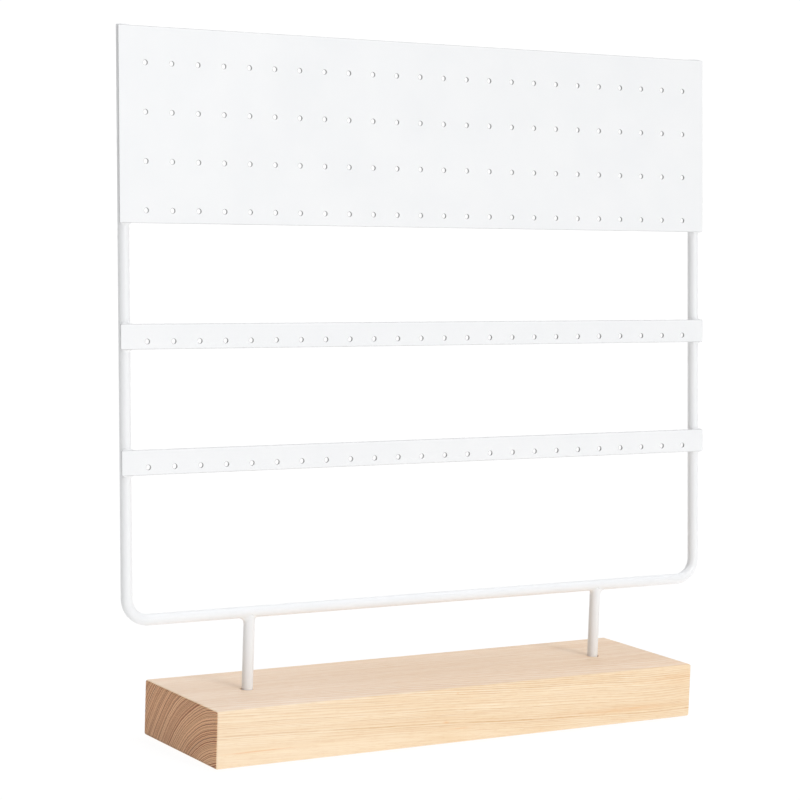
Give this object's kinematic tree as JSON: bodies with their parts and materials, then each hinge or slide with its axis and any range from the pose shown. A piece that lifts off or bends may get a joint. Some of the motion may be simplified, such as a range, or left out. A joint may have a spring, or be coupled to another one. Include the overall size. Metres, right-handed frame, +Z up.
{
  "type": "pegboard display stand",
  "caption": "Tabletop stand for hanging earrings: a leaning white rod frame with a perforated panel and two perforated bars, plugged into a wooden base.",
  "frame": {"origin": "centre of the stand's footprint, on the surface it rests on", "axes": "+X along the base to the right as seen from the front, +Y to the rear, +Z up"},
  "size_m": [0.3, 0.067, 0.3006],
  "materials": {
    "powder_coat": "white powder coat, satin, very fine texture",
    "pine": "solid pine, sanded, clear matt finish",
    "pad_rubber": "translucent soft rubber, matt"
  },
  "bodies": {
    "base": {"wood_base": "pine", "foot_pad_front_left": "pad_rubber", "foot_pad_front_right": "pad_rubber", "foot_pad_rear_left": "pad_rubber", "foot_pad_rear_right": "pad_rubber"},
    "frame": {"frame_rod": "powder_coat", "peg_panel": "powder_coat", "upper_bar": "powder_coat", "lower_bar": "powder_coat", "post_left": "powder_coat", "post_right": "powder_coat", "post_welds": "powder_coat", "sheet_welds": "powder_coat"}
  },
  "joints": [
    {"name": "frame_lift", "type": "slide", "parent": "base", "child": "frame", "axis": [0, 0, 1], "range_m": [0, 0.016]}
  ]
}
